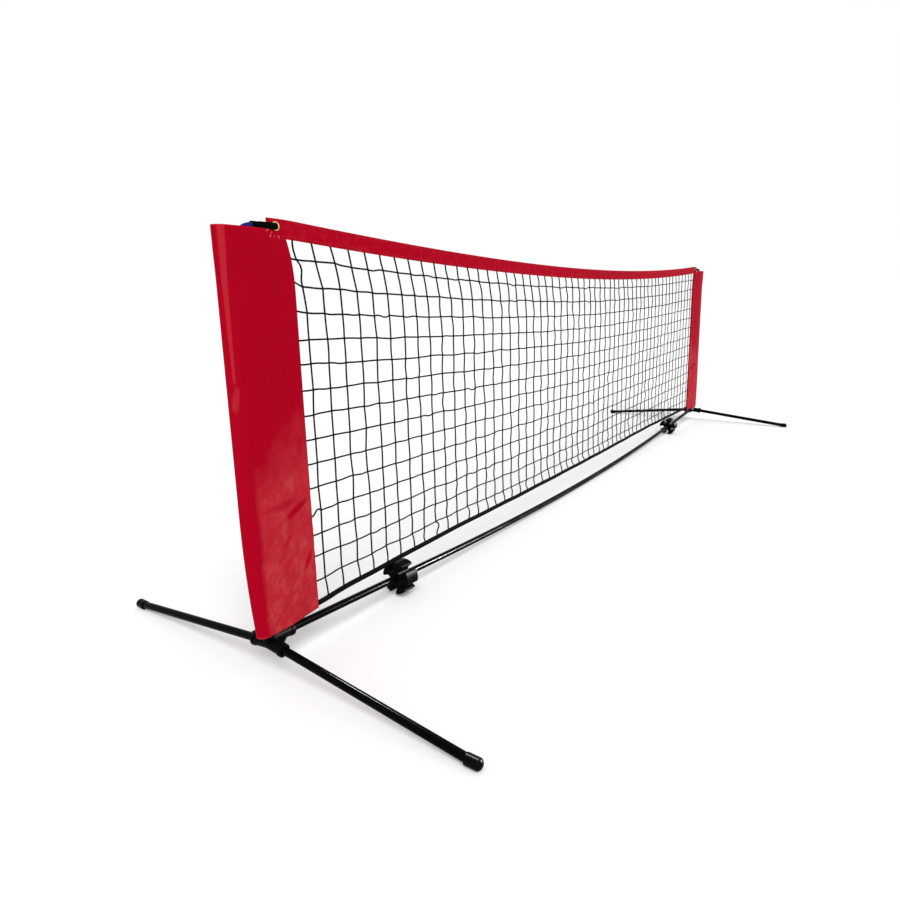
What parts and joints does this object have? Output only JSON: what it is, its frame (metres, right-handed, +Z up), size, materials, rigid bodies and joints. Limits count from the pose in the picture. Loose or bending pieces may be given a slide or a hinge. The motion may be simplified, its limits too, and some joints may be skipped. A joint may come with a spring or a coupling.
{
  "type": "pickleball portable net",
  "caption": "Short portable court net on a tube frame with sloped feet, a bent ground rail with storage clips, red post sleeves and a red head band.",
  "frame": {"origin": "on the floor at the middle of the net, between the two posts", "axes": "+X along the net from the left post to the right one, -Y out of the front, where the strap hooks are, +Z up"},
  "size_m": [3.147, 0.996, 0.868],
  "materials": {
    "black_tube": "black powder coat, low gloss",
    "black_moulding": "fine moulded texture",
    "foot_rubber": "smooth moulded rubber",
    "joiner_steel": "plain drawn tube",
    "sleeve_cloth": "coated woven cloth, faint sheen",
    "band_tape": "folded coated tape, stitched along both edges",
    "net_cord": "knotted twisted cord",
    "hem_webbing": "flat woven webbing",
    "strap_webbing": "flat woven webbing",
    "eyelet_brass": "pressed and polished"
  },
  "bodies": {
    "base_frame": {"hub_left": "black_moulding", "hub_right": "black_moulding", "rail_tube_left_outer": "black_tube", "rail_tube_left_inner": "black_tube", "rail_tube_right_inner": "black_tube", "rail_tube_right_outer": "black_tube", "rail_joiners": "joiner_steel"},
    "net_assembly": {"post_left": "black_tube", "post_right": "black_tube", "post_cap_left": "black_moulding", "post_cap_right": "black_moulding", "sleeve_left": "sleeve_cloth", "sleeve_right": "sleeve_cloth", "head_band": "band_tape", "net_mesh": "net_cord", "hem_strap": "hem_webbing", "eyelet_left": "eyelet_brass", "eyelet_right": "eyelet_brass", "tension_strap_left": "strap_webbing", "tension_strap_right": "strap_webbing", "hook_left": "black_moulding", "hook_right": "black_moulding"},
    "clip_left": {"storage_clip_left": "black_moulding"},
    "clip_right": {"storage_clip_right": "black_moulding"},
    "foot_front_left_leg": {"foot_front_left": "black_tube", "foot_cap_front_left": "foot_rubber"},
    "foot_rear_left_leg": {"foot_rear_left": "black_tube", "foot_cap_rear_left": "foot_rubber"},
    "foot_front_right_leg": {"foot_front_right": "black_tube", "foot_cap_front_right": "foot_rubber"},
    "foot_rear_right_leg": {"foot_rear_right": "black_tube", "foot_cap_rear_right": "foot_rubber"}
  },
  "joints": [
    {"name": "foot_front_left_pull", "type": "slide", "parent": "base_frame", "child": "foot_front_left_leg", "axis": [0, -0.9941, -0.1083], "range_m": [0, 0.025]},
    {"name": "foot_rear_left_pull", "type": "slide", "parent": "base_frame", "child": "foot_rear_left_leg", "axis": [0, 0.9941, -0.1083], "range_m": [0, 0.025]},
    {"name": "foot_front_right_pull", "type": "slide", "parent": "base_frame", "child": "foot_front_right_leg", "axis": [0, -0.9941, -0.1083], "range_m": [0, 0.025]},
    {"name": "foot_rear_right_pull", "type": "slide", "parent": "base_frame", "child": "foot_rear_right_leg", "axis": [0, 0.9941, -0.1083], "range_m": [0, 0.025]},
    {"name": "net_lift", "type": "slide", "parent": "base_frame", "child": "net_assembly", "axis": [0, 0, 1], "range_m": [0, 0.018]},
    {"name": "storage_clip_left_turn", "type": "hinge", "parent": "base_frame", "child": "clip_left", "pos_m": [-1.133, 0, 0.045], "axis": [0.9983, 0, -0.0583], "continuous": true},
    {"name": "storage_clip_right_turn", "type": "hinge", "parent": "base_frame", "child": "clip_right", "pos_m": [1.074, 0, 0.04155], "axis": [0.9983, 0, 0.0583], "continuous": true}
  ]
}
